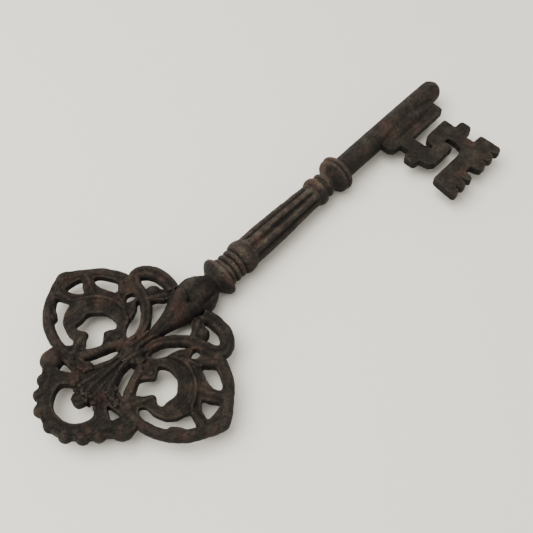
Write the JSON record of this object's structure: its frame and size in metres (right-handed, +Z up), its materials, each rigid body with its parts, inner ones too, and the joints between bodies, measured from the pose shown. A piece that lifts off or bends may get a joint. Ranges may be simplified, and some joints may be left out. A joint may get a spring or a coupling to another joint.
{
  "type": "decorative skeleton key",
  "caption": "Large decorative skeleton key in rusty cast iron: pierced trefoil bow of scrolls and leaves, baluster shank and a flat warded bit.",
  "frame": {"origin": "on the ground under the middle of the key's bounding box", "axes": "+X along the key from the bow's end to the pin's tip, +Z up, square to the flat of the bow and the bit; the bit hangs to -Y"},
  "size_m": [0.2539, 0.0998, 0.0188],
  "materials": {
    "bow_iron": "rough sand-cast iron with red-brown rust on the high spots",
    "shank_iron": "rough cast iron with red-brown rust and grey-olive dust in the grooves",
    "bit_iron": "darker sand-cast iron with a grainy skin and small rust patches"
  },
  "bodies": {
    "root": {"bead_crown": "bow_iron", "palmette": "bow_iron", "tie_band": "bow_iron", "left_strap_scroll": "bow_iron", "right_strap_scroll": "bow_iron", "left_lobe_ring": "bow_iron", "right_lobe_ring": "bow_iron", "left_leaf": "bow_iron", "right_leaf": "bow_iron", "left_volute": "bow_iron", "right_volute": "bow_iron", "calyx": "bow_iron", "bulb": "bow_iron", "bow_collar": "shank_iron", "neck_ring_1": "shank_iron", "neck_ring_2": "shank_iron", "neck_ring_3": "shank_iron", "shank_cap": "shank_iron", "fluted_shank": "shank_iron", "shank_foot": "shank_iron", "foot_bead": "shank_iron", "spool_collar": "shank_iron", "pin": "bit_iron", "bit": "bit_iron"}
  },
  "joints": []
}
